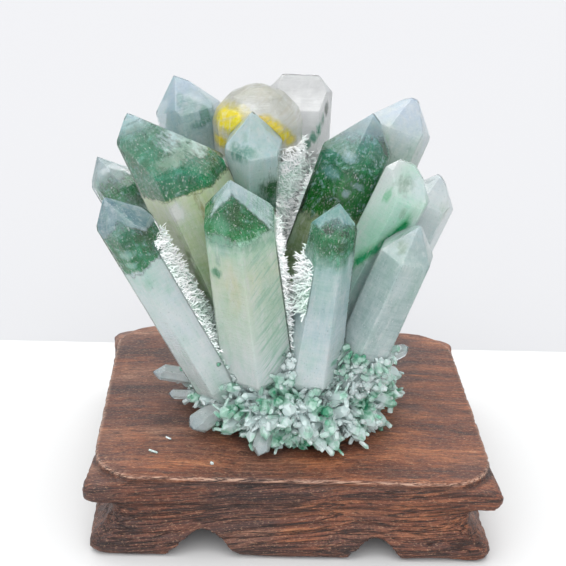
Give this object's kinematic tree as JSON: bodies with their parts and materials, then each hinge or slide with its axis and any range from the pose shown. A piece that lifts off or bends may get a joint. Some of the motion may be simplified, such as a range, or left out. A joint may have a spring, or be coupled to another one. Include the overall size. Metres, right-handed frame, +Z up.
{
  "type": "green quartz cluster",
  "caption": "Cluster of thick green and clear phantom quartz crystals in a crust of small points, resting on a small carved wooden stand.",
  "frame": {"origin": "middle of the stand's underside, on the surface it stands on", "axes": "+Z up; -Y is the front of the specimen and of the stand's long side; +X to the right seen from the front, along the stand's length"},
  "size_m": [0.1289, 0.108, 0.1292],
  "materials": {
    "quartz": "glossy",
    "wood": "satin"
  },
  "bodies": {
    "root": {"quartz_cluster": "quartz", "stand": "wood"}
  },
  "joints": []
}
